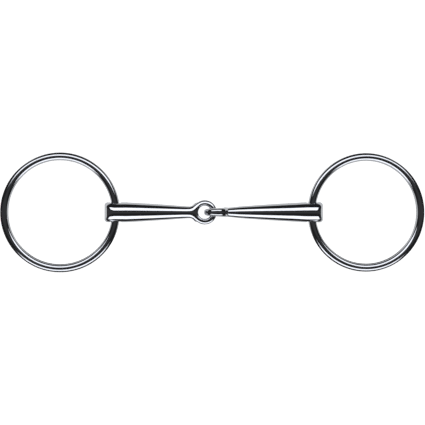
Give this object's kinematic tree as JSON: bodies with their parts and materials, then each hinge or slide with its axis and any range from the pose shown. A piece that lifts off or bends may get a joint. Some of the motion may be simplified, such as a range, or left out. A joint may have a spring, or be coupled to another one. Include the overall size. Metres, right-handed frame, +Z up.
{
  "type": "snaffle bit",
  "caption": "Loose-ring snaffle bit: tapered steel cannons linked eye through eye form a jointed mouthpiece, and a large round ring runs freely through each butt.",
  "frame": {"origin": "on the table that the bit lies on, under the middle of the whole bit, halfway between the ring holes' axes", "axes": "+X along the straight mouthpiece, towards the longer cannon, whose eye stands on edge; +Z up from the table, square to the flat eye; +Y across, along the ring holes"},
  "size_m": [0.271, 0.076, 0.0156],
  "materials": {
    "mouthpiece_steel": "polished stainless steel",
    "ring_steel": "polished stainless steel"
  },
  "bodies": {
    "left_cannon": {"left_cannon": "mouthpiece_steel"},
    "right_cannon": {"right_cannon": "mouthpiece_steel"},
    "left_ring": {"left_ring": "ring_steel"},
    "right_ring": {"right_ring": "ring_steel"}
  },
  "joints": [
    {"name": "mouth_fold", "type": "hinge", "parent": "left_cannon", "child": "right_cannon", "pos_m": [-0.00469, 0, 0.0078], "axis": [0, 0, 1], "range_deg": [-90, 90]},
    {"name": "left_ring_swing", "type": "hinge", "parent": "left_cannon", "child": "left_ring", "pos_m": [-0.0625, 0, 0.00654], "axis": [0, 1, 0], "range_deg": [-120, 120]},
    {"name": "right_ring_swing", "type": "hinge", "parent": "right_cannon", "child": "right_ring", "pos_m": [0.0625, 0, 0.00655], "axis": [0, -1, 0], "range_deg": [-120, 120]}
  ]
}
